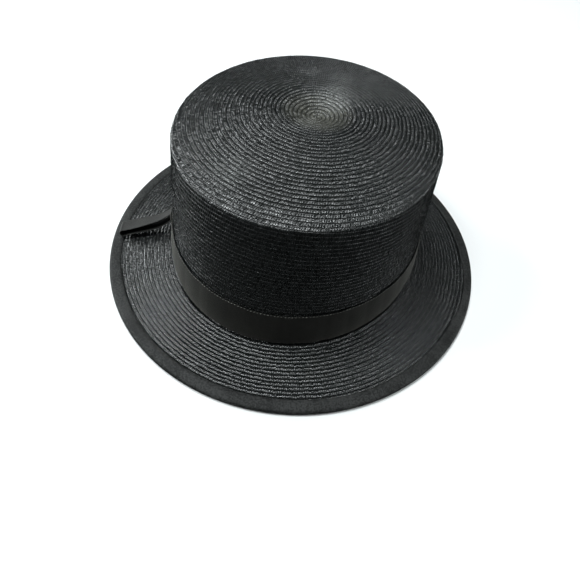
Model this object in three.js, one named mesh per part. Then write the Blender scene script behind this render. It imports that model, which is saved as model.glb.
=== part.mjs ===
// Sewn-straw top hat with a ribbon band, a bound rim and a side bow.
// Millimetres, +Z up. The hat rests on its rim at z = 0, centred on the Z axis.
// The wearer faces -Y, so +X is the wearer's left, where the bow is.
import * as THREE from 'three';

// Thickness of the two materials, and the clearance between separate pieces
const straw = 1.6;
const ribbon = 1.0;
const gap = 0.3;

// Ovals seen from above: half width, half length and centre
const wallFoot = { halfX: 84.7, halfY: 94.3, x: 0, y: 2.2 };
const wallTop = { halfX: 80.9, halfY: 89.6, x: 1.4, y: 2.3 };
const rim = { halfX: 131.8, halfY: 138.5, x: 0, y: 0 };

// Crown
const footHeight = 14.0;
const footWave = 1.6;          // the foot is this much higher at the sides, and lower front and back
const tipEdgeHeight = 107.5;
const tipRise = 13;            // the tip is a low dome
const tipPower = 1.25;
const tipRounding = 0.06;      // rounds off the dome's point
const hollow = { x: 2.1, y: -6.1, depth: 8.2, radius: 20 };    // sunken where the sewn spiral starts
const cornerRadius = 3;
const tipShares = [0.84, 0.68, 0.53, 0.42, 0.33, 0.25, 0.18, 0.12, 0.06];    // rings on the tip
const cornerAngles = [80, 55, 30, 5];             // degrees above level, from the tip down to the wall

// Brim: its fall from the crown eases off towards the rim
const brimPower = 1.2;
const brimFractions = [0, 0.12, 0.3, 0.5, 0.7, 0.86, 0.99];
const rimTop = ribbon + gap + straw;
const rimBevel = 0.45;

// Band and binding
const bandTopHeight = 40.2;
const bandTopWave = 0.4;
const bindingWidth = 7;
const bindingFlat = 2.5;       // width of the level ring that the hat rests on
const bindingNose = { share: 0.8, rise: 1.2, drop: 1.4 };    // rounding of the folded edge

// Bow: a loop of narrow ribbon in an upright plane that points outward from the band
const bow = {
  angle: 27.3,                 // degrees from +X towards the back, about the crown's centre
  reach: 128.4,                // distance of the fold from the crown's centre
  foldWidth: 10.8,
  rootWidth: 7.5,
  evenLength: 12,              // the ribbon keeps its full width this far in from the fold
};
// Distance in from the fold, and the heights of the loop's outer face below and above
const bowProfile = [
  { inward: 3.0, low: 6.7, high: 12.4 },
  { inward: 10, low: 10.0, high: 15.0 },
  { inward: 19, low: 13.1, high: 18.8 },
  { inward: 27, low: 16.2, high: 22.6 },
  { inward: 33, low: 20.0, high: 26.6 },
  { inward: 37.6, low: 24.3, high: 30.8 },
];
const foldAngles = [60, 30, 0, -30, -60];
const keeperClear = 0.2;       // added to the gap, to clear the band's flat facets
const keeper = { width: 11, low: 17.5, high: 35, thickness: 2.2, corner: 1, cornerWidth: 2.2 };

const steps = 64;              // points round each ring

function radians(degrees) {
  return degrees * Math.PI / 180;
}

// A point on an oval, pushed outward by outset
function ovalPoint(oval, angle, outset = 0) {
  return new THREE.Vector2(
    oval.x + (oval.halfX + outset) * Math.cos(angle),
    oval.y + (oval.halfY + outset) * Math.sin(angle),
  );
}

function footAt(angle) {
  return footHeight + footWave * Math.cos(2 * angle);
}

// Height of the tip's outer face: a low dome less the hollow
function tipAt(x, y) {
  const { x: middleX, y: middleY, halfX, halfY } = wallTop;
  const share = Math.hypot(tipRounding, (x - middleX) / halfX, (y - middleY) / halfY);
  const away = Math.hypot(x - hollow.x, y - hollow.y) / hollow.radius;
  const sunk = hollow.depth * Math.exp(-(away ** 2));
  return tipEdgeHeight + tipRise * (1 - share ** tipPower) - sunk;
}

// A point on the crown's side wall at a height, pushed outward by outset
function wallPoint(angle, height, outset = 0) {
  const foot = footAt(angle);
  const share = (height - foot) / (tipEdgeHeight - foot);
  const low = ovalPoint(wallFoot, angle, outset);
  const high = ovalPoint(wallTop, angle, outset);
  const place = low.lerp(high, share);
  return new THREE.Vector3(place.x, place.y, height);
}

// A point on the brim's top: share is 0 at the crown's wall and 1 at the rim
function brimPoint(angle, share, lift = 0) {
  const place = ovalPoint(wallFoot, angle).lerp(ovalPoint(rim, angle), share);
  const fall = Math.max(0, 1 - share) ** brimPower;
  return new THREE.Vector3(place.x, place.y, rimTop + (footAt(angle) - rimTop) * fall + lift);
}

// The same, measured inward from the rim in millimetres
function rimPoint(angle, inward, lift = 0) {
  const width = ovalPoint(rim, angle).distanceTo(ovalPoint(wallFoot, angle));
  return brimPoint(angle, 1 - inward / width, lift);
}

function ringOf(pointAt) {
  return Array.from({ length: steps }, (_, step) => pointAt(step / steps * 2 * Math.PI));
}

// Skin over a list of rings. A ring of one point closes that end; otherwise the last ring meets the first.
function skin(rings) {
  const positions = [];
  const starts = [];
  for (const ring of rings) {
    starts.push(positions.length / 3);
    for (const point of ring) {
      positions.push(point.x, point.y, point.z);
    }
  }
  const open = rings[0].length === 1;
  const index = [];
  const spans = open ? rings.length - 1 : rings.length;
  for (let span = 0; span < spans; span += 1) {
    const next = (span + 1) % rings.length;
    const count = Math.max(rings[span].length, rings[next].length);
    for (let step = 0; step < count; step += 1) {
      const after = (step + 1) % count;
      const a = starts[span] + step % rings[span].length;
      const b = starts[span] + after % rings[span].length;
      const c = starts[next] + after % rings[next].length;
      const d = starts[next] + step % rings[next].length;
      if (rings[span].length > 1) {
        index.push(a, d, b);
      }
      if (rings[next].length > 1) {
        index.push(b, d, c);
      }
    }
  }
  const geometry = new THREE.BufferGeometry();
  geometry.setAttribute('position', new THREE.Float32BufferAttribute(positions, 3));
  geometry.setIndex(index);
  geometry.computeVertexNormals();
  return geometry;
}

// Crown: outer face from the centre of the tip to the foot, then the inner face back up
function crownShape() {
  const cornerStart = 1 - cornerRadius / wallTop.halfX;
  const cornerTop = tipAt(wallTop.x + wallTop.halfX * cornerStart, wallTop.y);
  const tipRing = (share, drop) => ringOf((angle) => {
    const edge = ovalPoint(wallTop, angle);
    const x = hollow.x + (edge.x - hollow.x) * share;
    const y = hollow.y + (edge.y - hollow.y) * share;
    return new THREE.Vector3(x, y, tipAt(x, y) - drop);
  });
  const cornerRing = (degrees, depth) => ringOf((angle) => {
    const radius = cornerRadius - depth;
    const turn = radians(degrees);
    const height = cornerTop - cornerRadius + radius * Math.sin(turn);
    return wallPoint(angle, height, radius * Math.cos(turn) - cornerRadius);
  });
  const footRing = (depth) => ringOf((angle) => wallPoint(angle, footAt(angle) + gap, -depth));
  const middle = (drop) => [
    new THREE.Vector3(hollow.x, hollow.y, tipAt(hollow.x, hollow.y) - drop),
  ];
  return skin([
    middle(0),
    ...[...tipShares].reverse().map((share) => tipRing(share, 0)),
    ...cornerAngles.map((degrees) => cornerRing(degrees, 0)),
    footRing(0),
    footRing(straw),
    ...[...cornerAngles].reverse().map((degrees) => cornerRing(degrees, straw)),
    ...tipShares.map((share) => tipRing(share, straw)),
    middle(straw),
  ]);
}

// Brim: a level seat under the crown's wall, then the fall to the rim, and the underside back
function brimShape() {
  const seat = (drop) => ringOf((angle) => {
    const place = ovalPoint(wallFoot, angle, -straw);
    return new THREE.Vector3(place.x, place.y, footAt(angle) - drop);
  });
  const face = (share, drop) => ringOf((angle) => brimPoint(angle, share, -drop));
  return skin([
    seat(0),
    ...brimFractions.map((share) => face(share, 0)),
    face(1, rimBevel),
    face(1, straw - rimBevel),
    ...[...brimFractions].reverse().map((share) => face(share, straw)),
    seat(straw),
  ]);
}

// Band: a plain strip round the foot of the wall
function bandShape() {
  const edge = (heightAt, outset) => ringOf((angle) => wallPoint(angle, heightAt(angle), outset));
  const low = (angle) => footAt(angle) + gap;
  const high = (angle) => bandTopHeight + bandTopWave * Math.cos(2 * angle);
  return skin([
    edge(high, gap),
    edge(high, gap + ribbon),
    edge(low, gap + ribbon),
    edge(low, gap),
  ]);
}

// Binding: a strip folded over the rim, level underneath where the hat rests
function bindingShape() {
  const above = (inward, clear) => ringOf((angle) => rimPoint(angle, inward, clear));
  const below = (inward, clear) => above(inward, -straw - clear);
  const nose = (outset, height) => ringOf((angle) => {
    const place = ovalPoint(rim, angle, outset);
    return new THREE.Vector3(place.x, place.y, height);
  });
  const half = bindingWidth / 2;
  const middle = rimTop - straw / 2;
  const outer = gap + ribbon;
  return skin([
    above(bindingWidth, outer),
    above(half, outer),
    nose(0, rimTop + outer),
    nose(outer * bindingNose.share, middle + bindingNose.rise),
    nose(outer, middle),
    nose(outer * bindingNose.share, middle - bindingNose.drop),
    nose(0, 0),
    nose(-bindingFlat, 0),
    below(bindingWidth, outer),
    below(bindingWidth, gap),
    below(bindingFlat, gap),
    nose(0, ribbon),
    nose(gap, middle - rimBevel),
    nose(gap, middle + rimBevel),
    nose(0, rimTop + gap),
    above(half, gap),
    above(bindingWidth, gap),
  ]);
}

// Bow loop: the outline runs out along the top, round the fold, back below and up at the root
function bowLoopShape() {
  const length = bowProfile.at(-1).inward;
  const fold = bowProfile[0];
  const middle = (fold.high + fold.low) / 2;
  const half = (fold.high - fold.low) / 2;
  const outline = bowProfile.map((row) => new THREE.Vector2(row.inward, row.high)).reverse();
  for (const degrees of foldAngles) {
    const turn = radians(degrees);
    outline.push(new THREE.Vector2(fold.inward * (1 - Math.cos(turn)), middle + half * Math.sin(turn)));
  }
  outline.push(...bowProfile.map((row) => new THREE.Vector2(row.inward, row.low)));

  const outward = new THREE.Vector3(Math.cos(radians(bow.angle)), Math.sin(radians(bow.angle)), 0);
  const across = new THREE.Vector3(-outward.y, outward.x, 0);
  const place = (inward, height, side) => {
    const share = Math.max(0, (inward - bow.evenLength) / (length - bow.evenLength));
    const width = bow.foldWidth + (bow.rootWidth - bow.foldWidth) * share;
    const point = new THREE.Vector3(wallFoot.x, wallFoot.y, height);
    point.addScaledVector(outward, bow.reach - inward);
    return point.addScaledVector(across, side * width / 2);
  };
  const rings = outline.map((point, step) => {
    const before = outline[(step + outline.length - 1) % outline.length];
    const after = outline[(step + 1) % outline.length];
    const along = after.clone().sub(before).normalize();
    const inner = new THREE.Vector2(point.x - along.y * ribbon, point.y + along.x * ribbon);
    return [
      place(point.x, point.y, -1),
      place(point.x, point.y, 1),
      place(inner.x, inner.y, 1),
      place(inner.x, inner.y, -1),
    ];
  });
  return skin(rings);
}

// Keeper: a small wrap on the band that holds the loop's root
function bowKeeperShape() {
  const ray = radians(bow.angle);
  const middle = Math.atan2(Math.sin(ray) / wallFoot.halfY, Math.cos(ray) / wallFoot.halfX);
  const radius = (wallFoot.halfX + wallFoot.halfY) / 2;
  const back = 2 * gap + ribbon + keeperClear;
  const face = back + keeper.thickness;
  const half = keeper.width / 2;
  const section = [
    { side: -half, outset: back },
    { side: -half, outset: face - keeper.corner },
    { side: keeper.cornerWidth - half, outset: face },
    { side: half - keeper.cornerWidth, outset: face },
    { side: half, outset: face - keeper.corner },
    { side: half, outset: back },
  ];
  const ring = (height) => section.map(({ side, outset }) => (
    wallPoint(middle + side / radius, height, outset)
  ));
  const centre = (height) => [wallPoint(middle, height, back + keeper.thickness / 2)];
  return skin([centre(keeper.high), ring(keeper.high), ring(keeper.low), centre(keeper.low)]);
}

const strawFinish = { color: 0x0b0d0e, roughness: 0.35, metalness: 0 };
const ribbonFinish = { color: 0x171918, roughness: 0.85, metalness: 0 };

const pieces = [
  { name: 'crown', shape: crownShape, finish: strawFinish },
  { name: 'brim', shape: brimShape, finish: strawFinish },
  { name: 'hat_band', shape: bandShape, finish: ribbonFinish },
  { name: 'brim_binding', shape: bindingShape, finish: ribbonFinish },
  { name: 'bow_loop', shape: bowLoopShape, finish: ribbonFinish },
  { name: 'bow_keeper', shape: bowKeeperShape, finish: ribbonFinish },
];

const group = new THREE.Group();
for (const { name, shape, finish } of pieces) {
  const mesh = new THREE.Mesh(shape(), new THREE.MeshStandardMaterial(finish));
  mesh.name = name;
  group.add(mesh);
}

export default group;
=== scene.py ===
import math

import bpy
import numpy as np
from mathutils import Matrix, Vector


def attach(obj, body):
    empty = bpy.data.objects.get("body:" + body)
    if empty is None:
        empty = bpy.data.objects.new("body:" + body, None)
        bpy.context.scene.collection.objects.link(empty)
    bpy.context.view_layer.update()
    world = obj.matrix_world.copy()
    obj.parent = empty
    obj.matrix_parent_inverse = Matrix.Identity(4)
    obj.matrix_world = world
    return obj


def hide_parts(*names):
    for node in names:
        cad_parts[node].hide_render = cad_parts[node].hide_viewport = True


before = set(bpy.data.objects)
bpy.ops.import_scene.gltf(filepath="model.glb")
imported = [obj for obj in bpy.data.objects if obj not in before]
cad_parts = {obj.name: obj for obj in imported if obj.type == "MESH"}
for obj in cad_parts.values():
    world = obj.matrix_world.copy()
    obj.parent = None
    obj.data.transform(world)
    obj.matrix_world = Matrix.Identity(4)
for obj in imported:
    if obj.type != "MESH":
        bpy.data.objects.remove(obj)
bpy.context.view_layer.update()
print("frame loaded:", sorted(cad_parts))

mm = 0.001

# the hat's own shape, in metres, as its solids have it but for the shoulder
hat = {
    "wallFoot": {"halfX": 0.0847, "halfY": 0.0943, "x": 0.0, "y": 0.0022},
    "wallTop": {"halfX": 0.0809, "halfY": 0.0896, "x": 0.0014, "y": 0.0023},
    "rim": {"halfX": 0.1318, "halfY": 0.1385, "x": 0.0, "y": 0.0},
    "footHeight": 0.014,
    "footWave": 0.0016,          # the foot is higher at the sides
    "edgeHeight": 0.1075,        # where the tip meets the wall
    "tipRise": 0.0122,
    "shoulder": 0.0010,          # the tip bends down a little more near its edge
    "shoulderPower": 8,
    "tipPower": 1.25,
    "tipRounding": 0.06,
    "hollow": {"x": 0.0021, "y": -0.0061, "depth": 0.0082, "radius": 0.020},
    "corner": 0.0018,
    "straw": 0.0016,
    "rimTop": 0.0029,
    "brimPower": 1.2,
    "bandTop": 0.0402,
    "bandWave": 0.0004,
}


def ovalAt(oval, angle, outset=0.0):
    x = oval["x"] + (oval["halfX"] + outset) * np.cos(angle)
    y = oval["y"] + (oval["halfY"] + outset) * np.sin(angle)
    return np.stack([x, y], -1)


def footAt(angle):
    return hat["footHeight"] + hat["footWave"] * np.cos(2 * angle)


def tipAt(x, y):
    top = hat["wallTop"]
    hollow = hat["hollow"]
    shareX = (x - top["x"]) / top["halfX"]
    shareY = (y - top["y"]) / top["halfY"]
    share = np.sqrt(hat["tipRounding"] ** 2 + shareX ** 2 + shareY ** 2)
    away = np.hypot(x - hollow["x"], y - hollow["y"]) / hollow["radius"]
    sunk = hollow["depth"] * np.exp(-away ** 2)
    bend = hat["shoulder"] * (1 - share ** hat["shoulderPower"])
    return hat["edgeHeight"] + hat["tipRise"] * (1 - share ** hat["tipPower"]) + bend - sunk


def wallAt(angle, height, outset=0.0):
    foot = footAt(angle)
    share = ((height - foot) / (hat["edgeHeight"] - foot))[..., None]
    low = ovalAt(hat["wallFoot"], angle, outset)
    high = ovalAt(hat["wallTop"], angle, outset)
    return np.concatenate([low + (high - low) * share, height[..., None]], -1)


def brimAt(angle, share):
    low = ovalAt(hat["wallFoot"], angle)
    high = ovalAt(hat["rim"], angle)
    fall = np.clip(1 - share, 0, None) ** hat["brimPower"]
    height = hat["rimTop"] + (footAt(angle) - hat["rimTop"]) * fall
    return np.concatenate([low + (high - low) * share[..., None], height[..., None]], -1)


class Socket:
    # one output socket of a node; sums on it add Math nodes to its tree
    def __init__(self, finish, link):
        self.finish = finish
        self.link = link

    def maths(self, operation, *values):
        return self.finish.add("ShaderNodeMath", {"operation": operation}, dict(enumerate(values)))

    def __add__(self, other):
        return self.maths("ADD", self, other)

    def __radd__(self, other):
        return self.maths("ADD", other, self)

    def __sub__(self, other):
        return self.maths("SUBTRACT", self, other)

    def __rsub__(self, other):
        return self.maths("SUBTRACT", other, self)

    def __mul__(self, other):
        return self.maths("MULTIPLY", self, other)

    def __rmul__(self, other):
        return self.maths("MULTIPLY", other, self)

    def __truediv__(self, other):
        return self.maths("DIVIDE", self, other)

    def __pow__(self, other):
        return self.maths("POWER", self, other)

    def floor(self):
        return self.maths("FLOOR", self)

    def fraction(self):
        return self.maths("FRACT", self)

    def wave(self):
        return 0.5 + 0.5 * self.maths("SINE", self * (2 * math.pi))

    def clamped(self):
        return self.maths("MINIMUM", self.maths("MAXIMUM", self, 0.0), 1.0)


class Finish:
    # a material and its node tree
    def __init__(self, name):
        self.material = bpy.data.materials.new(name)
        self.material.use_nodes = True
        self.tree = self.material.node_tree
        self.tree.nodes.clear()

    def add(self, kind, settings=None, inputs=None, output=0):
        node = self.tree.nodes.new(kind)
        for key, value in (settings or {}).items():
            setattr(node, key, value)
        for key, value in (inputs or {}).items():
            if isinstance(value, Socket):
                self.tree.links.new(value.link, node.inputs[key])
            else:
                node.inputs[key].default_value = value
        return Socket(self, node.outputs[output])

    def read(self, name):
        return self.add("ShaderNodeAttribute", {"attribute_name": name}, {}, "Fac")

    def place(self):
        return self.add("ShaderNodeTexCoord", {}, {}, "Object")

    def noise(self, scale, detail):
        inputs = {"Vector": self.place(), "Scale": scale, "Detail": detail}
        return self.add("ShaderNodeTexNoise", {"noise_dimensions": "3D"}, inputs, "Fac")

    def along(self, value, scale):
        # a slow change along one number
        inputs = {"W": value, "Scale": scale, "Detail": 2.0}
        return self.add("ShaderNodeTexNoise", {"noise_dimensions": "1D"}, inputs, "Fac")

    def chance(self, value):
        # another random number, 0 to 1, for each value
        return self.add("ShaderNodeTexWhiteNoise", {"noise_dimensions": "1D"}, {"W": value}, "Value")

    def near(self, x, y, radius):
        # 1 at a point in plan, falling to 0 at the radius
        inputs = {"Vector": self.place()}
        awayX = self.add("ShaderNodeSeparateXYZ", {}, inputs, "X") - x
        awayY = self.add("ShaderNodeSeparateXYZ", {}, inputs, "Y") - y
        return (1 - (awayX ** 2 + awayY ** 2) / radius ** 2).clamped()

    def blend(self, amount, first, second):
        # mixes two colours, which are inputs 6 and 7 and output 2 of a Mix node
        settings = {"data_type": "RGBA", "blend_type": "MIX"}
        return self.add("ShaderNodeMix", settings, {"Factor": amount, 6: first, 7: second}, 2)

    def bump(self, height):
        # height is in mm
        inputs = {"Height": height, "Strength": 1.0, "Distance": mm}
        return self.add("ShaderNodeBump", {}, inputs, "Normal")

    def close(self, inputs, paintedShade=None, paintedShadeColour=None):
        # where the mask is 1 the surface is matt and near black: painted shade
        shader = self.add("ShaderNodeBsdfPrincipled", {}, inputs, "BSDF")
        if paintedShade is not None:
            matt = self.add("ShaderNodeBsdfDiffuse", {}, {"Color": paintedShadeColour}, "BSDF")
            shader = self.add("ShaderNodeMixShader", {}, {0: paintedShade, 1: shader, 2: matt}, "Shader")
        output = self.tree.nodes.new("ShaderNodeOutputMaterial")
        self.tree.links.new(shader.link, output.inputs["Surface"])
        return self.material


def shade(red, green, blue):
    return (red, green, blue, 1.0)


def gridMesh(name, points, material, values, closeAlong=False, closeAcross=False):
    # points is along x across x 3
    along, across = points.shape[:2]
    index = np.arange(along * across).reshape(along, across)
    if closeAlong:
        index = np.concatenate([index, index[:1]], 0)
    if closeAcross:
        index = np.concatenate([index, index[:, :1]], 1)
    corners = [index[:-1, :-1], index[1:, :-1], index[1:, 1:], index[:-1, 1:]]
    faces = np.stack(corners, -1).reshape(-1, 4)
    mesh = bpy.data.meshes.new(name)
    mesh.from_pydata(points.reshape(-1, 3), [], faces)
    mesh.polygons.foreach_set("use_smooth", np.ones(len(faces), bool))
    for key, value in values.items():
        layer = mesh.attributes.new(key, "FLOAT", "POINT")
        spread = np.broadcast_to(value, (along, across)).astype(np.float32)
        layer.data.foreach_set("value", spread.ravel())
    mesh.update()
    mesh.materials.append(material)
    piece = bpy.data.objects.new(name, mesh)
    bpy.context.scene.collection.objects.link(piece)
    return piece


def handIn(piece, node):
    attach(piece, "root")
    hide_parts(node)


# the sewn braid: its rows as they show, one stitch after another
braid = {
    "stitch": 0.0014,
    "parts": 2,                   # mesh steps in a stitch
    "slant": 0.3,                 # how far a strand leans over the row's width, in stitches
    "across": [0.0, 0.08, 0.20, 0.50, 0.80, 0.91, 1.0],
    "heights": [-0.75, -0.12, 0.05, 0.12, 0.07, -0.10, -0.85],    # mm
    "strand": [-0.16, 0.09],      # mm, along one stitch, from the dip between two strands
    "uneven": 0.06,               # mm, strand to strand
    "offset": 0.0,
    "seed": 11,
}
# the brim's rows are a little flatter
brimBraid = dict(braid, strand=[-0.12, 0.07], uneven=0.05)
brimBraid["across"] = [0.0, 0.07, 0.16, 0.50, 0.85, 0.93, 1.0]
brimBraid["heights"] = [-0.70, -0.10, 0.05, 0.09, 0.06, -0.08, -0.75]
# and so are the wall's, with rougher strands
wallBraid = dict(braid, strand=[-0.19, 0.10], uneven=0.09)
wallBraid["across"] = [0.0, 0.05, 0.16, 0.50, 0.84, 0.95, 1.0]
wallBraid["heights"] = [-0.40, -0.05, 0.05, 0.08, 0.04, -0.04, -0.50]
# the same braid from inside the hat and under the brim
braidBack = {
    "stitch": 0.0042,
    "parts": 1,
    "slant": -0.5,
    "across": [0.0, 0.15, 0.5, 0.85, 1.0],
    "heights": [-0.35, 0.05, 0.16, 0.05, -0.35],
    "strand": [0.0],
    "uneven": 0.05,
    "offset": 0.0012,
    "seed": 23,
}
# how much of the strands' relief is left, from place to place over a row's width
reliefPlaces = [0.0, 0.1, 0.3, 0.8, 0.94, 1.0]
reliefShares = [0.2, 0.9, 0.9, 1.0, 1.1, 0.3]

# rows on the crown run outward from the hollow, clockwise seen from above
crownRows = {
    "pitchX": 0.002621,
    "pitchY": 0.002803,
    "start": 0.42,
    "angle": math.radians(90),
    "wallPitch": 0.0030,
    "levelRow": 35.5,             # the row that every direction tends to at the wall's top
    "levelPower": 1.55,
    "tipTurns": 30.5,
    "midTurns": 44.5,
    "endTurns": 58.5,
    "backTurns": 65.6,
    "directions": 720,            # how finely the table of rows is made
    "tableRows": 68,
    "rowSteps": 20,
    "rayPoints": 1500,
    "spare": 0.004,               # the table runs this far past the wall's foot
}


def crownRay(theta):
    # direction in plan, rows' pitch, distance to the corner and the oval's angle there
    centre = np.array([hat["hollow"]["x"], hat["hollow"]["y"]])
    step = np.stack([crownRows["pitchX"] * np.cos(theta), crownRows["pitchY"] * np.sin(theta)], -1)
    pitch = np.linalg.norm(step, axis=-1)
    way = step / pitch[..., None]
    top = hat["wallTop"]
    halves = np.array([top["halfX"] - hat["corner"], top["halfY"] - hat["corner"]])
    offset = (centre - np.array([top["x"], top["y"]])) / halves
    run = way / halves
    # where the ray meets the oval: the quadratic's farther root
    a = (run ** 2).sum(-1)
    b = (run * offset).sum(-1)
    c = (offset ** 2).sum() - 1
    reach = (-b + np.sqrt(b ** 2 - a * c)) / a
    hit = offset + run * reach[..., None]
    return way, pitch, reach, np.arctan2(hit[..., 1], hit[..., 0])


def crownSurface(theta, distance):
    # a point on the crown's face, distance out along the ray over the tip, corner and wall
    way, pitch, reach, angle = crownRay(theta)
    top = hat["wallTop"]
    corner = hat["corner"]
    plan = np.array([hat["hollow"]["x"], hat["hollow"]["y"]]) + way * distance[..., None]
    onTip = np.concatenate([plan, tipAt(plan[..., 0], plan[..., 1])[..., None]], -1)
    cornerTop = tipAt(np.array(top["x"] + top["halfX"] - corner), np.array(top["y"]))
    past = np.clip(distance - reach, 0, None)
    turn = math.pi / 2 - np.clip(past / corner, 0, math.pi / 2)
    down = np.clip(past - corner * math.pi / 2, 0, None)
    height = cornerTop - corner + corner * np.sin(turn) - down
    onWall = wallAt(angle, height, corner * (np.cos(turn) - 1))
    return np.where((distance < reach)[..., None], onTip, onWall)


def crownTable():
    # for each direction, the distance of every row from the centre
    corner = hat["corner"] * math.pi / 2
    directions = np.linspace(0, 2 * math.pi, crownRows["directions"] + 1)
    way, pitch, reach, angle = crownRay(directions)
    rows = np.linspace(0, crownRows["tableRows"], crownRows["tableRows"] * crownRows["rowSteps"] + 1)
    table = np.empty((len(directions), len(rows)))
    wallLength = hat["edgeHeight"] - hat["footHeight"] + crownRows["spare"]
    for index in range(len(directions)):
        out = np.linspace(0, reach[index] + corner + wallLength, crownRows["rayPoints"])
        past = np.clip(out - reach[index], 0, None)
        cornerEnd = reach[index] / pitch[index] + corner / crownRows["wallPitch"]
        share = np.clip((past - corner) / wallLength, 0, None) ** crownRows["levelPower"]
        row = np.minimum(out, reach[index]) / pitch[index] + past / crownRows["wallPitch"]
        row = row + (crownRows["levelRow"] - cornerEnd) * share
        table[index] = np.interp(rows, row, out)
    return rows, table


crownRowList, crownDistances = crownTable()


def crownAt(turns, across):
    # a point on the spiral, read from the table between its four nearest entries
    theta = crownRows["angle"] - 2 * math.pi * turns
    outer = turns + crownRows["start"]
    inner = np.clip(outer - 1, 0, None)
    row = inner + (outer - inner) * across
    place = np.mod(theta, 2 * math.pi) / (2 * math.pi) * crownRows["directions"]
    low = np.clip(np.floor(place).astype(int), 0, crownRows["directions"] - 1)
    part = place - low
    step = np.clip(row, 0, crownRowList[-1]) / (crownRowList[1] - crownRowList[0])
    cell = np.clip(np.floor(step).astype(int), 0, len(crownRowList) - 2)
    rest = step - cell
    first = crownDistances[low, cell] * (1 - rest) + crownDistances[low, cell + 1] * rest
    second = crownDistances[low + 1, cell] * (1 - rest) + crownDistances[low + 1, cell + 1] * rest
    return crownSurface(theta, first * (1 - part) + second * part)


brimRows = {
    "perShare": 1 / 0.0557,       # rows over the brim's whole width
    "start": 0.718,
    "angle": math.radians(95),
    "firstTurns": 0.1,
    "midTurns": 8.55,
    "endTurns": 16.0,
    "backTurns": -0.35,           # where the rows below start
}


def brimRowAt(turns, across):
    theta = brimRows["angle"] - 2 * math.pi * turns
    row = turns + brimRows["start"] - 1 + across
    return brimAt(theta, row / brimRows["perShare"])


sewing = {
    "margin": 0.05,               # turns measured beyond each end of a run
    "turnSteps": 720,
    "smallTurn": 0.0008,          # steps either way that give a face's direction
    "smallSide": 0.02,
    "runSeed": 7,                 # each run's random numbers start from its first turn times this
    "numbering": 7000,            # each run's stitches are numbered from a multiple of this
}


def sewRows(name, placeAt, start, end, settings, material, outside, firstStitch=0.0):
    # one mesh strip along the spiral, sheared so that its lines follow the strands
    margin = sewing["margin"]
    fine = np.linspace(start - margin, end + margin, int((end - start) * sewing["turnSteps"]))
    middle = placeAt(fine, np.full_like(fine, 0.5))
    lengths = np.concatenate([[0], np.cumsum(np.linalg.norm(np.diff(middle, axis=0), axis=1))])
    stitches = lengths / settings["stitch"]
    first = np.interp(start, fine, stitches)
    last = np.interp(end, fine, stitches)
    parts = settings["parts"]
    count = int((last - first) * parts)
    station = first + np.arange(count + 1) / parts
    across = np.array(settings["across"])
    lean = settings["slant"] * (across - 0.5)
    turns = np.interp(station[:, None] + lean[None, :], stitches, fine)
    turns = np.clip(turns, start, end)
    sides = np.broadcast_to(across[None, :], turns.shape)
    points = placeAt(turns, sides)
    smallTurn = sewing["smallTurn"]
    runs = placeAt(turns + smallTurn, sides) - placeAt(turns - smallTurn, sides)
    further = np.clip(sides + sewing["smallSide"], 0, 1)
    nearer = np.clip(sides - sewing["smallSide"], 0, 1)
    steps = placeAt(turns, further) - placeAt(turns, nearer)
    normals = np.cross(runs, steps) * outside
    normals /= np.linalg.norm(normals, axis=-1, keepdims=True) + 1e-12
    randoms = np.random.default_rng(settings["seed"] + int(start * sewing["runSeed"]))
    stitchNumber = np.arange(count + 1) // parts
    phase = np.arange(count + 1) % parts
    each = randoms.normal(0, 1, stitchNumber[-1] + 2)
    lift = each[stitchNumber] * settings["uneven"]
    relief = np.array(settings["strand"])[phase] + np.where(phase == 0, 0, lift)
    wide = np.interp(across, reliefPlaces, reliefShares)
    heights = np.array(settings["heights"])[None, :] + relief[:, None] * wide[None, :]
    points = points + normals * (settings["offset"] + heights[..., None] * mm)
    stitch = np.repeat((station - first + firstStitch)[:, None], len(across), 1)
    if outside < 0:
        points = points[:, ::-1]
        sides = sides[:, ::-1]
    piece = gridMesh(name, points, material, {"stitch": stitch, "across": sides})
    print(name, "triangles", 2 * count * (len(across) - 1), "stitches", count // parts)
    return piece


# places on the tip painted paler: the first three are painted glints, the last a scuff; x, y, radius and
# how much
glintsAndScuffs = [
    (0.000, -0.028, 0.016, 1.0),
    (0.028, -0.047, 0.010, 0.40),
    (0.007, -0.050, 0.010, 0.40),
    (0.018, 0.066, 0.013, 0.45),
]

strawLook = {
    "dark": shade(0.0030, 0.0036, 0.0038),
    "light": shade(0.0090, 0.0104, 0.0108),
    "faded": shade(0.016, 0.0165, 0.0145),
    "fadedScale": 22.0,
    "fadedAmount": 0.3,
    # a paler patch round the tip's hollow: painted sheen
    "paintedSheen": shade(0.074, 0.074, 0.062),
    "paintedSheenReach": 0.024,           # from the tip's hollow
    "paintedSheenLeast": 0.45,
    "paintedSheenSpread": 0.8,
    # a pale colour for painted glints and a scuff
    "glintAndScuff": shade(0.30, 0.31, 0.30),
    "speckScale": 1500.0,
    "speckContrast": 6,
    "grainScale": 1800.0,
    "fibres": 4,                  # to a strand
    "crestHeight": 0.12,          # mm, as the next two
    "fibreHeight": 0.02,
    "grainHeight": 0.02,
    "leanAlong": 0.46,            # mm over a strand, at most
    "leanAcross": 0.8,
    "driftScale": 0.13,
    "drift": 1.6,                 # strands near each other lean alike
    "driftMiddle": 1.3,
    "rough": 0.38,
    "grainRough": 0.05,
    "crestGloss": 0.15,
    "glossSpread": 0.23,
    "reflection": 0.55,
}


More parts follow.
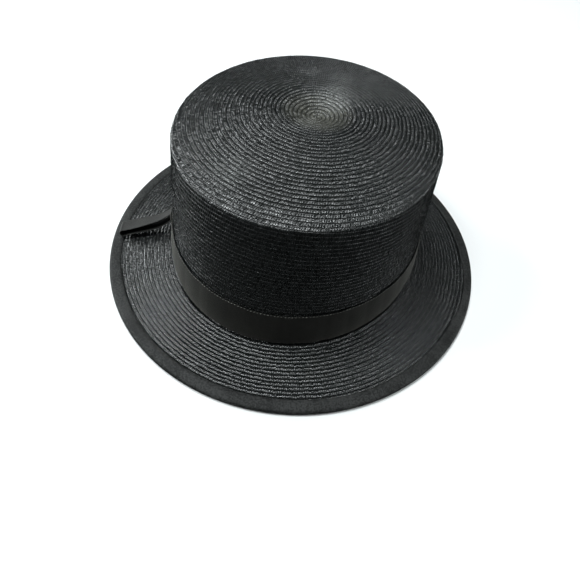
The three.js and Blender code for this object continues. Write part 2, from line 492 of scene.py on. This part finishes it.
def strawFinish(name, uneven):
    finish = Finish(name)
    look = strawLook
    stitch = finish.read("stitch")
    across = finish.read("across")
    number = stitch.floor()
    part = stitch.fraction()
    # three random numbers for each strand
    random = finish.chance(number)
    other = finish.chance(number + 0.37)
    third = finish.chance(number + 0.71)
    crest = 1 - (2 * part - 1) ** 2
    ridge = 1 - ((2 * across - 1) ** 2) ** 2
    fibres = (stitch * look["fibres"] + across * 0.5).wave()
    patch = finish.noise(look["fadedScale"], 3.0)
    colour = finish.blend(random, look["dark"], look["light"])
    colour = finish.blend(patch * look["fadedAmount"], colour, look["faded"])
    # the middle of the tip painted paler on the rows' bodies: painted sheen
    paintedSheenMask = finish.near(hat["hollow"]["x"], hat["hollow"]["y"], look["paintedSheenReach"])
    paintedSheenMask = paintedSheenMask * (look["paintedSheenLeast"] + look["paintedSheenSpread"] * random) * ridge
    colour = finish.blend(paintedSheenMask.clamped(), colour, look["paintedSheen"])
    # fine specks where the tip is painted paler: painted glints, and a scuff at the last place
    speck = (finish.noise(look["speckScale"], 1.0) - 0.50) * look["speckContrast"] * ridge
    for x, y, radius, amount in glintsAndScuffs:
        glintAndScuff = finish.near(x, y, radius) * speck.clamped() * amount
        colour = finish.blend(glintAndScuff.clamped(), colour, look["glintAndScuff"])
    grain = finish.noise(look["grainScale"], 2.0)
    drift = finish.along(stitch, look["driftScale"])
    leanAlong = (random - 0.5) * part * look["leanAlong"]
    leanAcross = (other + look["drift"] * drift - look["driftMiddle"]) * across * look["leanAcross"]
    height = crest * look["crestHeight"] + fibres * look["fibreHeight"] + grain * look["grainHeight"]
    height = height + (leanAlong + leanAcross) * uneven
    gloss = crest * ridge * (look["crestGloss"] + look["glossSpread"] * third)
    return finish.close({
        "Base Color": colour,
        "Roughness": look["rough"] + look["grainRough"] * grain - gloss,
        "Specular IOR Level": look["reflection"],
        "Normal": finish.bump(height),
    })


straw = strawFinish("black braid", 1.0)
evenStraw = strawFinish("black braid, even", 0.75)
tipEnd = crownRows["tipTurns"]
midEnd = crownRows["midTurns"]
brimStart = brimRows["firstTurns"]
brimMid = brimRows["midTurns"]
brimEnd = brimRows["endTurns"]
surfaces = {"crown": crownAt, "brim": brimRowAt}
rowRuns = [
    ("crown_tip_rows", "crown", 0.0, tipEnd, braid, straw),
    ("crown_upper_rows", "crown", tipEnd, midEnd, wallBraid, straw),
    ("crown_lower_rows", "crown", midEnd, crownRows["endTurns"], wallBraid, straw),
    ("brim_inner_rows", "brim", brimStart, brimMid, brimBraid, evenStraw),
    ("brim_outer_rows", "brim", brimMid, brimEnd, brimBraid, evenStraw),
]
for number, (name, node, start, end, settings, material) in enumerate(rowRuns):
    firstStitch = sewing["numbering"] * number
    handIn(sewRows(name, surfaces[node], start, end, settings, material, 1, firstStitch), node)
backRuns = [
    ("crown_inside_rows", "crown", 0.0, crownRows["backTurns"]),
    ("brim_under_rows", "brim", brimRows["backTurns"], brimEnd),
]
for name, node, start, end in backRuns:
    handIn(sewRows(name, surfaces[node], start, end, braidBack, straw, -1), node)


def wobble(angle, amplitude, seed, slowest=5, fastest=24):
    # a gentle unevenness round the hat
    randoms = np.random.default_rng(seed)
    total = np.zeros_like(angle)
    for count in range(slowest, fastest):
        total = total + randoms.normal() * np.sin(count * angle + randoms.uniform(0, 2 * math.pi))
    return amplitude * total / math.sqrt((fastest - slowest) / 2)


# thickness of a ribbon at its outermost points and at the next ones in, as a share
ribbonEdge = (0.35, 0.85)


def ribbonMesh(name, middle, thickness, material, closed, width, inner=0.0):
    # cloth with rounded edges round a grid of points; middle is along x across x 3, and inner is how
    #  much painted shade its back gets
    if closed:
        runs = np.roll(middle, -1, 0) - np.roll(middle, 1, 0)
    else:
        runs = np.gradient(middle, axis=0)
    normals = np.cross(runs, np.gradient(middle, axis=1))
    normals /= np.linalg.norm(normals, axis=-1, keepdims=True)
    columns = middle.shape[1]
    taper = np.ones(columns)
    taper[[0, -1]] = ribbonEdge[0]
    taper[[1, -2]] = ribbonEdge[1]
    half = normals * (thickness / 2 * taper)[None, :, None]
    points = np.concatenate([middle + half, (middle - half)[:, ::-1]], 1)
    centre = middle[:, columns // 2]
    along = np.concatenate([[0], np.cumsum(np.linalg.norm(np.diff(centre, axis=0), axis=1))])
    sizes = np.linalg.norm(np.diff(middle, axis=1), axis=-1).mean(0)
    across = np.concatenate([[0], np.cumsum(sizes)])
    across = across / across[-1] * width
    face = middle.shape[:2]
    behind = np.broadcast_to(inner, face)[:, ::-1]
    values = {
        "along": along[:, None] / mm,
        "across": np.concatenate([across, across[::-1]])[None, :] / mm,
        "inner": np.concatenate([np.zeros(face), behind], 1),
    }
    return gridMesh(name, points, material, values, closed, True)


cloth = {
    "cloudScale": 70.0,
    "cloud": 1.6,
    "threadScale": 900.0,
    "ribShade": 0.3,
    "ribSpread": 0.35,            # rib to rib
    "middle": 0.45,
    "weft": 0.31,                 # mm
    "weftShift": 0.4,
    "ribHeight": 0.05,            # mm, as the next two
    "weftHeight": 0.012,
    "threadHeight": 0.10,
    "rough": 0.50,
    "threadRough": 0.2,
    "sheenRough": 0.4,
    "sheenTint": shade(0.78, 0.78, 0.70),
    # painted shade inside the bow's loop: a matt near black, mixed in by the inner attribute
    "inside": shade(0.0008, 0.0008, 0.0008),
    "insideAmount": 0.88,
}
grosgrainLook = {
    "dark": shade(0.0020, 0.0019, 0.0016),
    "light": shade(0.0080, 0.0077, 0.0066),
    "ribs": 0.80,                 # mm
    "gloss": 0.25,
    "sheen": 0.175,
    "mottle": 1.6,
}
bindingLook = {
    "dark": shade(0.0030, 0.0032, 0.0032),
    "light": shade(0.0300, 0.0310, 0.0303),
    "ribs": 0.60,
    "gloss": 0.22,
    "sheen": 0.04,
    "mottle": 4.5,
}


def ribbonFinish(name, look):
    # grosgrain: ribs run over the ribbon's width
    finish = Finish(name)
    along = finish.read("along") / look["ribs"]
    across = finish.read("across")
    rib = along.wave()
    thread = finish.noise(cloth["threadScale"], 3.0)
    cloud = finish.noise(cloth["cloudScale"], 3.0)
    slub = finish.chance(along.floor())
    weft = (across / cloth["weft"] + slub * cloth["weftShift"]).wave()
    tone = cloth["middle"] + (cloud - 0.5) * cloth["cloud"] + (thread - 0.5) * look["mottle"]
    tone = tone + (rib - 0.5) * cloth["ribShade"] + (slub - 0.5) * cloth["ribSpread"]
    height = rib * cloth["ribHeight"] + weft * cloth["weftHeight"] + thread * cloth["threadHeight"]
    inputs = {
        "Base Color": finish.blend(tone.clamped(), look["dark"], look["light"]),
        "Roughness": cloth["rough"] + cloth["threadRough"] * thread,
        "Specular IOR Level": look["gloss"],
        "Sheen Weight": look["sheen"],
        "Sheen Roughness": cloth["sheenRough"],
        "Sheen Tint": cloth["sheenTint"],
        "Normal": finish.bump(height),
    }
    # the back of the bow's loop is mixed towards matt near black: painted shade
    return finish.close(inputs, finish.read("inner") * cloth["insideAmount"], cloth["inside"])


grosgrain = ribbonFinish("grosgrain ribbon", grosgrainLook)
bindingCloth = ribbonFinish("grosgrain binding", bindingLook)

# hat band
band = {
    "stations": 900,
    "width": 0.026,
    "across": [0.0, 0.012, 0.05, 0.15, 0.3, 0.45, 0.6, 0.8, 0.93, 0.985, 1.0],
    "clear": 0.00055,             # from the wall's smooth surface to the ribbon's back
    "thickness": 0.0005,
    "lift": 0.0004,               # above the brim
    "edgeWobble": 0.00014,
    "faceWobble": 0.00013,
    "seeds": {"foot": 5, "top": 6, "face": 7},
    "belly": 0.0009,              # its middle stands out, so its foot is in shade
    "bellyPower": 0.75,
}


def bandAt(angle, share):
    seeds = band["seeds"]
    low = footAt(angle) + band["lift"] + wobble(angle, band["edgeWobble"], seeds["foot"])
    high = hat["bandTop"] + hat["bandWave"] * np.cos(2 * angle)
    high = high + wobble(angle, band["edgeWobble"], seeds["top"])
    height = low + (high - low) * share
    bulge = np.abs(wobble(angle, band["faceWobble"], seeds["face"]))
    bulge = bulge + band["belly"] * np.sin(math.pi * share ** band["bellyPower"])
    return wallAt(angle, height, band["clear"] + band["thickness"] / 2 + bulge)


def addBand():
    angles = np.arange(band["stations"]) / band["stations"] * 2 * math.pi
    grid, shares = np.meshgrid(angles, np.array(band["across"]), indexing="ij")
    middle = bandAt(grid, shares)
    piece = ribbonMesh("hat_band_ribbon", middle, band["thickness"], grosgrain, True, band["width"])
    handIn(piece, "hat_band")


addBand()
print("band made")

# binding: rows of points from its top edge over the rim, round its nose, under it and back. over, under
# and back give a share of the width inward, nose an outset in mm; then comes a lift or a height in mm
binding = {
    "stations": 640,
    "clothWidth": 0.016,
    "width": 0.0070,
    "narrowing": {"angle": math.radians(190), "spread": math.radians(13), "by": 0.0022},
    "thickness": 0.0005,
    "over": [(1.0, 0.10), (0.965, 0.42), (0.88, 0.80), (0.62, 0.95), (0.35, 0.97), (0.13, 0.97)],
    "nose": [(0.35, 3.62), (0.85, 3.05), (1.04, 2.15), (0.88, 1.20), (0.42, 0.52)],
    "under": [(0.05, 0.26), (0.2, 0.25), (0.36, 0.25)],
    "back": [(0.65, 0.95), (0.9, 0.80), (1.0, 0.45)],
    "wobble": 0.00016,
    "seed": 31,
}


def addBinding():
    angles = np.arange(binding["stations"]) / binding["stations"] * 2 * math.pi
    narrow = binding["narrowing"]
    turn = (angles - narrow["angle"]) / narrow["spread"]
    width = binding["width"] - narrow["by"] * np.exp(-turn ** 4)
    width = width + wobble(angles, binding["wobble"], binding["seed"])
    reach = np.linalg.norm(ovalAt(hat["rim"], angles) - ovalAt(hat["wallFoot"], angles), axis=-1)
    level = np.ones((len(angles), 1)) * mm
    columns = []
    for share, lift in binding["over"]:
        point = brimAt(angles, 1 - share * width / reach)
        columns.append(point + np.array([0, 0, lift * mm]))
    for outset, height in binding["nose"]:
        plan = ovalAt(hat["rim"], angles, outset * mm)
        columns.append(np.concatenate([plan, level * height], -1))
    for share, height in binding["under"]:
        plan = brimAt(angles, 1 - share * binding["width"] / reach)[:, :2]
        columns.append(np.concatenate([plan, level * height], -1))
    for share, lift in binding["back"]:
        point = brimAt(angles, 1 - share * width / reach)
        columns.append(point - np.array([0, 0, hat["straw"] + lift * mm]))
    middle = np.stack(columns, 1)[:, ::-1]
    thickness = binding["thickness"]
    piece = ribbonMesh("rim_binding_ribbon", middle, thickness, bindingCloth, True, binding["clothWidth"])
    handIn(piece, "brim_binding")


addBinding()
print("binding made")

# bow: a flat loop in an upright plane; profile rows are (inward from the fold, lower height, upper
# height) in mm
bow = {
    "angle": math.radians(27.5),
    "reach": 0.1284,
    "foldWidth": 0.0100,
    "rootWidth": 0.0064,
    "evenLength": 0.012,
    "thickness": 0.0006,
    "profile": [
        (3.1, 6.6, 12.3), (10.0, 9.9, 14.9), (19.0, 13.0, 18.8),
        (27.0, 16.1, 22.6), (33.0, 19.9, 26.5), (38.6, 25.2, 31.4),
    ],
    "across": [-1.0, -0.97, -0.86, -0.5, 0.0, 0.5, 0.86, 0.97, 1.0],
    "foldSteps": (60, 30, 0, -30, -60),
    "stagger": 0.0011,            # the lower layer stands out this much to one side
    "lowerFrom": 0.46,            # where the lower layer starts, as a share of the ribbon's run
    "lowerOver": 0.08,
    "litFrom": 0.6,               # the lower layer's edge is in the light from here
    "crown": 0.00022,             # how far the middle of the ribbon stands over its edges
    "stations": 110,
}


def smoothPath(points, count):
    # a smooth curve through the points, at even steps
    points = np.array(points, float)
    lengths = np.concatenate([[0], np.cumsum(np.linalg.norm(np.diff(points, axis=0), axis=1))])
    padded = np.concatenate([2 * points[:1] - points[1:2], points, 2 * points[-1:] - points[-2:-1]])
    where = np.linspace(0, lengths[-1], count)
    cell = np.clip(np.searchsorted(lengths, where, side="right") - 1, 0, len(points) - 2)
    part = ((where - lengths[cell]) / (lengths[cell + 1] - lengths[cell]))[:, None]
    a, b, c, d = (padded[cell + step] for step in range(4))
    curve = 2 * b + (c - a) * part + (2 * a - 5 * b + 4 * c - d) * part ** 2
    return (curve + (3 * b - a - 3 * c + d) * part ** 3) / 2


def addBow():
    profile = bow["profile"]
    inset = bow["thickness"] / mm / 2
    outline = [(inward, high - inset) for inward, low, high in reversed(profile)]
    inward, low, high = profile[0]
    middle = (low + high) / 2
    radius = (high - low) / 2 - inset
    for degrees in bow["foldSteps"]:
        turn = math.radians(degrees)
        outline.append((inward - (inward - inset) * math.cos(turn), middle + radius * math.sin(turn)))
    outline += [(inward, low + inset) for inward, low, high in profile]
    path = smoothPath(outline, bow["stations"]) * mm
    outward = np.array([math.cos(bow["angle"]), math.sin(bow["angle"]), 0.0])
    sideways = np.array([-outward[1], outward[0], 0.0])
    root = profile[-1][0] * mm
    share = np.clip((path[:, 0] - bow["evenLength"]) / (root - bow["evenLength"]), 0, 1)
    width = bow["foldWidth"] + (bow["rootWidth"] - bow["foldWidth"]) * share
    centre = np.array([hat["wallFoot"]["x"], hat["wallFoot"]["y"], 0.0])
    line = centre + outward * (bow["reach"] - path[:, :1]) + np.array([0, 0, 1.0]) * path[:, 1:]
    runs = np.gradient(line, axis=0)
    normals = np.cross(runs, sideways)
    normals /= np.linalg.norm(normals, axis=-1, keepdims=True)
    across = np.array(bow["across"])
    run = np.arange(len(path)) / (len(path) - 1)
    lower = np.clip((run - bow["lowerFrom"]) / bow["lowerOver"], 0, 1)
    line = line + sideways * (bow["stagger"] * lower[:, None])
    grid = line[:, None] + sideways * (across[None, :, None] * width[:, None, None] / 2)
    grid = grid - normals[:, None] * (bow["crown"] * across[None, :, None] ** 2)
    # the inside of the loop gets painted shade, except the lower layer's lit edge
    shaded = 1 - lower[:, None] * (across[None, :] > bow["litFrom"])
    thickness = bow["thickness"]
    piece = ribbonMesh("bow_loop_ribbon", grid, thickness, grosgrain, False, bow["foldWidth"], shaded)
    handIn(piece, "bow_loop")


addBow()

# keeper: a strip wrapped round the bow's root and the band; its outline is (height, outset) in mm
keeper = {
    "width": 0.011,
    "outline": [
        (26.0, 2.45), (19.0, 2.4), (17.9, 2.55), (17.75, 3.1), (18.6, 3.75), (22.0, 4.0), (26.0, 4.15),
        (30.0, 4.0), (33.9, 3.75), (34.75, 3.1), (34.6, 2.55), (33.5, 2.4), (26.0, 2.45),
    ],
    "across": [-1.0, -0.97, -0.88, -0.6, -0.35, -0.3, -0.25, 0.0, 0.25, 0.3, 0.35, 0.6, 0.88, 0.97, 1.0],
    "pleats": 0.00022,
    "pleatTurns": 1.65,           # over half the width
    "frontFrom": 0.0025,          # outset where its front starts
    "frontOver": 0.001,
    "edgeDrop": 0.0007,
    "edgePower": 6,
    "thickness": 0.0005,
    "stations": 64,
}


def addKeeper():
    ray = bow["angle"]
    foot = hat["wallFoot"]
    middle = math.atan2(math.sin(ray) / foot["halfY"], math.cos(ray) / foot["halfX"])
    radius = (foot["halfX"] + foot["halfY"]) / 2
    path = smoothPath(keeper["outline"], keeper["stations"])[:-1] * mm
    across = np.array(keeper["across"])
    pleat = keeper["pleats"] * np.cos(across * keeper["pleatTurns"] * 2 * math.pi)
    drop = keeper["edgeDrop"] * across ** keeper["edgePower"]
    angles = middle + across[None, :] * keeper["width"] / 2 / radius + np.zeros((len(path), 1))
    heights = np.repeat(path[:, :1], len(across), 1)
    front = np.clip((path[:, 1:] - keeper["frontFrom"]) / keeper["frontOver"], 0, 1)
    outsets = path[:, 1:] + (pleat - drop)[None, :] * front
    middles = wallAt(angles, heights, outsets)
    piece = ribbonMesh("bow_keeper_wrap", middles, keeper["thickness"], grosgrain, True, keeper["width"])
    handIn(piece, "bow_keeper")


addKeeper()
print("bow made")

# sewing thread: dashes along the band's top edge
thread = {
    "dark": shade(0.09, 0.09, 0.08),
    "light": shade(0.24, 0.24, 0.21),
    "twistScale": 4000.0,
    "twistHeight": 0.03,          # mm
    "rough": 0.38,
    "twistRough": 0.2,
    "count": 255,
    "length": 0.00095,
    "thickness": 0.00036,
    "inset": 0.00042,             # below the band's edge
    "out": 0.55,                  # of the band's thickness
    "lean": 0.25,
    "stray": 0.12,
    "sizes": (0.75, 1.15),
    "sides": 6,
    "rings": [(-1.0, 0.25), (-0.7, 0.85), (0.0, 1.0), (0.7, 0.85), (1.0, 0.25)],    # place, thickness
    "smallAngle": 0.002,
    "seed": 41,
}


def threadFinish():
    finish = Finish("sewing thread")
    twist = finish.noise(thread["twistScale"], 2.0)
    return finish.close({
        "Base Color": finish.blend(twist, thread["dark"], thread["light"]),
        "Roughness": thread["rough"] + thread["twistRough"] * twist,
        "Normal": finish.bump(twist * thread["twistHeight"]),
    })


def stitchAt(angle, size):
    # the points of one dash, ring after ring
    angles = np.array([angle, angle + thread["smallAngle"]])
    here, ahead = bandAt(angles, np.full(2, 1 - thread["inset"] / band["width"]))
    run = (ahead - here) / np.linalg.norm(ahead - here)
    rise = np.array([0, 0, 1.0])
    out = np.cross(run, rise)
    run = run * math.cos(thread["lean"]) + rise * math.sin(thread["lean"])
    centre = here + out * band["thickness"] * thread["out"]
    points = []
    for place, share in thread["rings"]:
        middle = centre + run * (place * thread["length"] / 2 * size)
        radius = thread["thickness"] / 2 * share * size
        for side in range(thread["sides"]):
            turn = side / thread["sides"] * 2 * math.pi
            points.append(middle + out * radius * math.cos(turn) + rise * radius * math.sin(turn))
    return points


def stitchFaces(first):
    # walls between the rings, and a cap at either end
    sides = thread["sides"]
    faces = []
    last = first + (len(thread["rings"]) - 1) * sides
    for ring in range(first, last, sides):
        for side in range(sides):
            after = (side + 1) % sides
            faces.append((ring + side, ring + after, ring + sides + after, ring + sides + side))
    faces.append(tuple(first + side for side in reversed(range(sides))))
    faces.append(tuple(last + side for side in range(sides)))
    return faces


def addStitches():
    # all the dashes are one mesh
    randoms = np.random.default_rng(thread["seed"])
    points = []
    faces = []
    for number in range(thread["count"]):
        stray = randoms.uniform(-thread["stray"], thread["stray"])
        size = randoms.uniform(*thread["sizes"])
        faces += stitchFaces(len(points))
        points += stitchAt((number + stray) / thread["count"] * 2 * math.pi, size)
    mesh = bpy.data.meshes.new("band_stitches")
    mesh.from_pydata(points, [], faces)
    mesh.polygons.foreach_set("use_smooth", np.ones(len(faces), bool))
    mesh.materials.append(threadFinish())
    piece = bpy.data.objects.new("band_stitches", mesh)
    bpy.context.scene.collection.objects.link(piece)
    handIn(piece, "hat_band")


addStitches()
print("stitches made")

# camera
view = {
    "lens": 34.76,                # mm, as the sensor
    "sensor": 36.0,
    "nearest": 0.01,
    "turn": math.radians(21.27),
    "down": math.radians(50.99),
    "roll": math.radians(8.98),
    "aim": Vector((-0.00147, 0.0022, -0.0475)),
    "distance": 0.4607,
}


def addCamera():
    data = bpy.data.cameras.new("camera")
    data.lens = view["lens"]
    data.sensor_width = view["sensor"]
    data.clip_start = view["nearest"]
    camera = bpy.data.objects.new("camera", data)
    bpy.context.scene.collection.objects.link(camera)
    level = math.cos(view["down"])
    ahead = Vector((math.sin(view["turn"]) * level, -math.cos(view["turn"]) * level, 0.0))
    ahead.z = -math.sin(view["down"])
    right = ahead.cross(Vector((0, 0, 1))).normalized()
    up = right.cross(ahead)
    across = right * math.cos(view["roll"]) + up * math.sin(view["roll"])
    upward = up * math.cos(view["roll"]) - right * math.sin(view["roll"])
    place = view["aim"] - ahead * view["distance"]
    axes = Matrix((across, upward, -ahead)).transposed().to_4x4()
    camera.matrix_world = Matrix.Translation(place) @ axes
    bpy.context.scene.camera = camera


addCamera()
print("camera placed")

# floor and lights
studio = {
    "floorSize": 6.0,
    "floorColour": shade(0.86, 0.86, 0.86),
    "floorRough": 0.7,
    "sky": shade(1.0, 1.0, 1.0),
    "skyStrength": 0.004,
    "lampDistance": 1.6,
    "aim": Vector((0, 0, 0.08)),
    "tint": (0.95, 1.0, 1.01),
}
# turn and height are in degrees; turn 0 is the bow's side and 90 the back of the hat
lamps = [
    {"name": "above", "turn": 0, "height": 76, "size": 0.30, "power": 12.8},
    {"name": "sideLow", "turn": 0, "height": 8, "size": 0.45, "power": 16.5},
    {"name": "sideLowBack", "turn": 30, "height": 8, "size": 0.4, "power": 5.5},
    {"name": "sideBack", "turn": 30, "height": 45, "size": 0.32, "power": 7.5},
    {"name": "highBack", "turn": 45, "height": 62, "size": 0.32, "power": 5.0},
    {"name": "highFront", "turn": 315, "height": 62, "size": 0.32, "power": 5.8},
    {"name": "farLow", "turn": 210, "height": 8, "size": 0.45, "power": 6.8},
    {"name": "far", "turn": 180, "height": 8, "size": 0.45, "power": 3.1},
    {"name": "back", "turn": 120, "height": 45, "size": 0.3, "power": 2.2},
    {"name": "backHigh", "turn": 150, "height": 70, "size": 0.26, "power": 2.6},
    {"name": "topFar", "turn": 180, "height": 80, "size": 0.16, "power": 3.2},
    {"name": "front", "turn": 270, "height": 50, "size": 0.5, "power": 2.8},
]


def addFloor():
    finish = Finish("pale floor")
    material = finish.close({"Base Color": studio["floorColour"], "Roughness": studio["floorRough"]})
    half = studio["floorSize"] / 2
    ends = (-half, half)
    corners = np.array([[(x, y, 0.0) for y in ends] for x in ends])
    floor = gridMesh("floor", corners, material, {})
    floor.visible_glossy = False


def addLamp(settings):
    data = bpy.data.lights.new(settings["name"], "AREA")
    data.shape = "DISK"
    data.size = settings["size"]
    data.energy = settings["power"]
    data.color = studio["tint"]
    lamp = bpy.data.objects.new(settings["name"], data)
    bpy.context.scene.collection.objects.link(lamp)
    turn = math.radians(settings["turn"])
    height = math.radians(settings["height"])
    level = math.cos(height)
    way = Vector((math.cos(turn) * level, math.sin(turn) * level, math.sin(height)))
    lamp.location = way * studio["lampDistance"] + studio["aim"]
    lamp.rotation_euler = way.to_track_quat("Z", "Y").to_euler()


addFloor()
for settings in lamps:
    addLamp(settings)
world = bpy.data.worlds.new("studio")
world.use_nodes = True
sky = world.node_tree.nodes["Background"]
sky.inputs["Color"].default_value = studio["sky"]
sky.inputs["Strength"].default_value = studio["skyStrength"]
bpy.context.scene.world = world
bpy.context.scene.view_settings.view_transform = "Standard"
print("floor and lights placed")
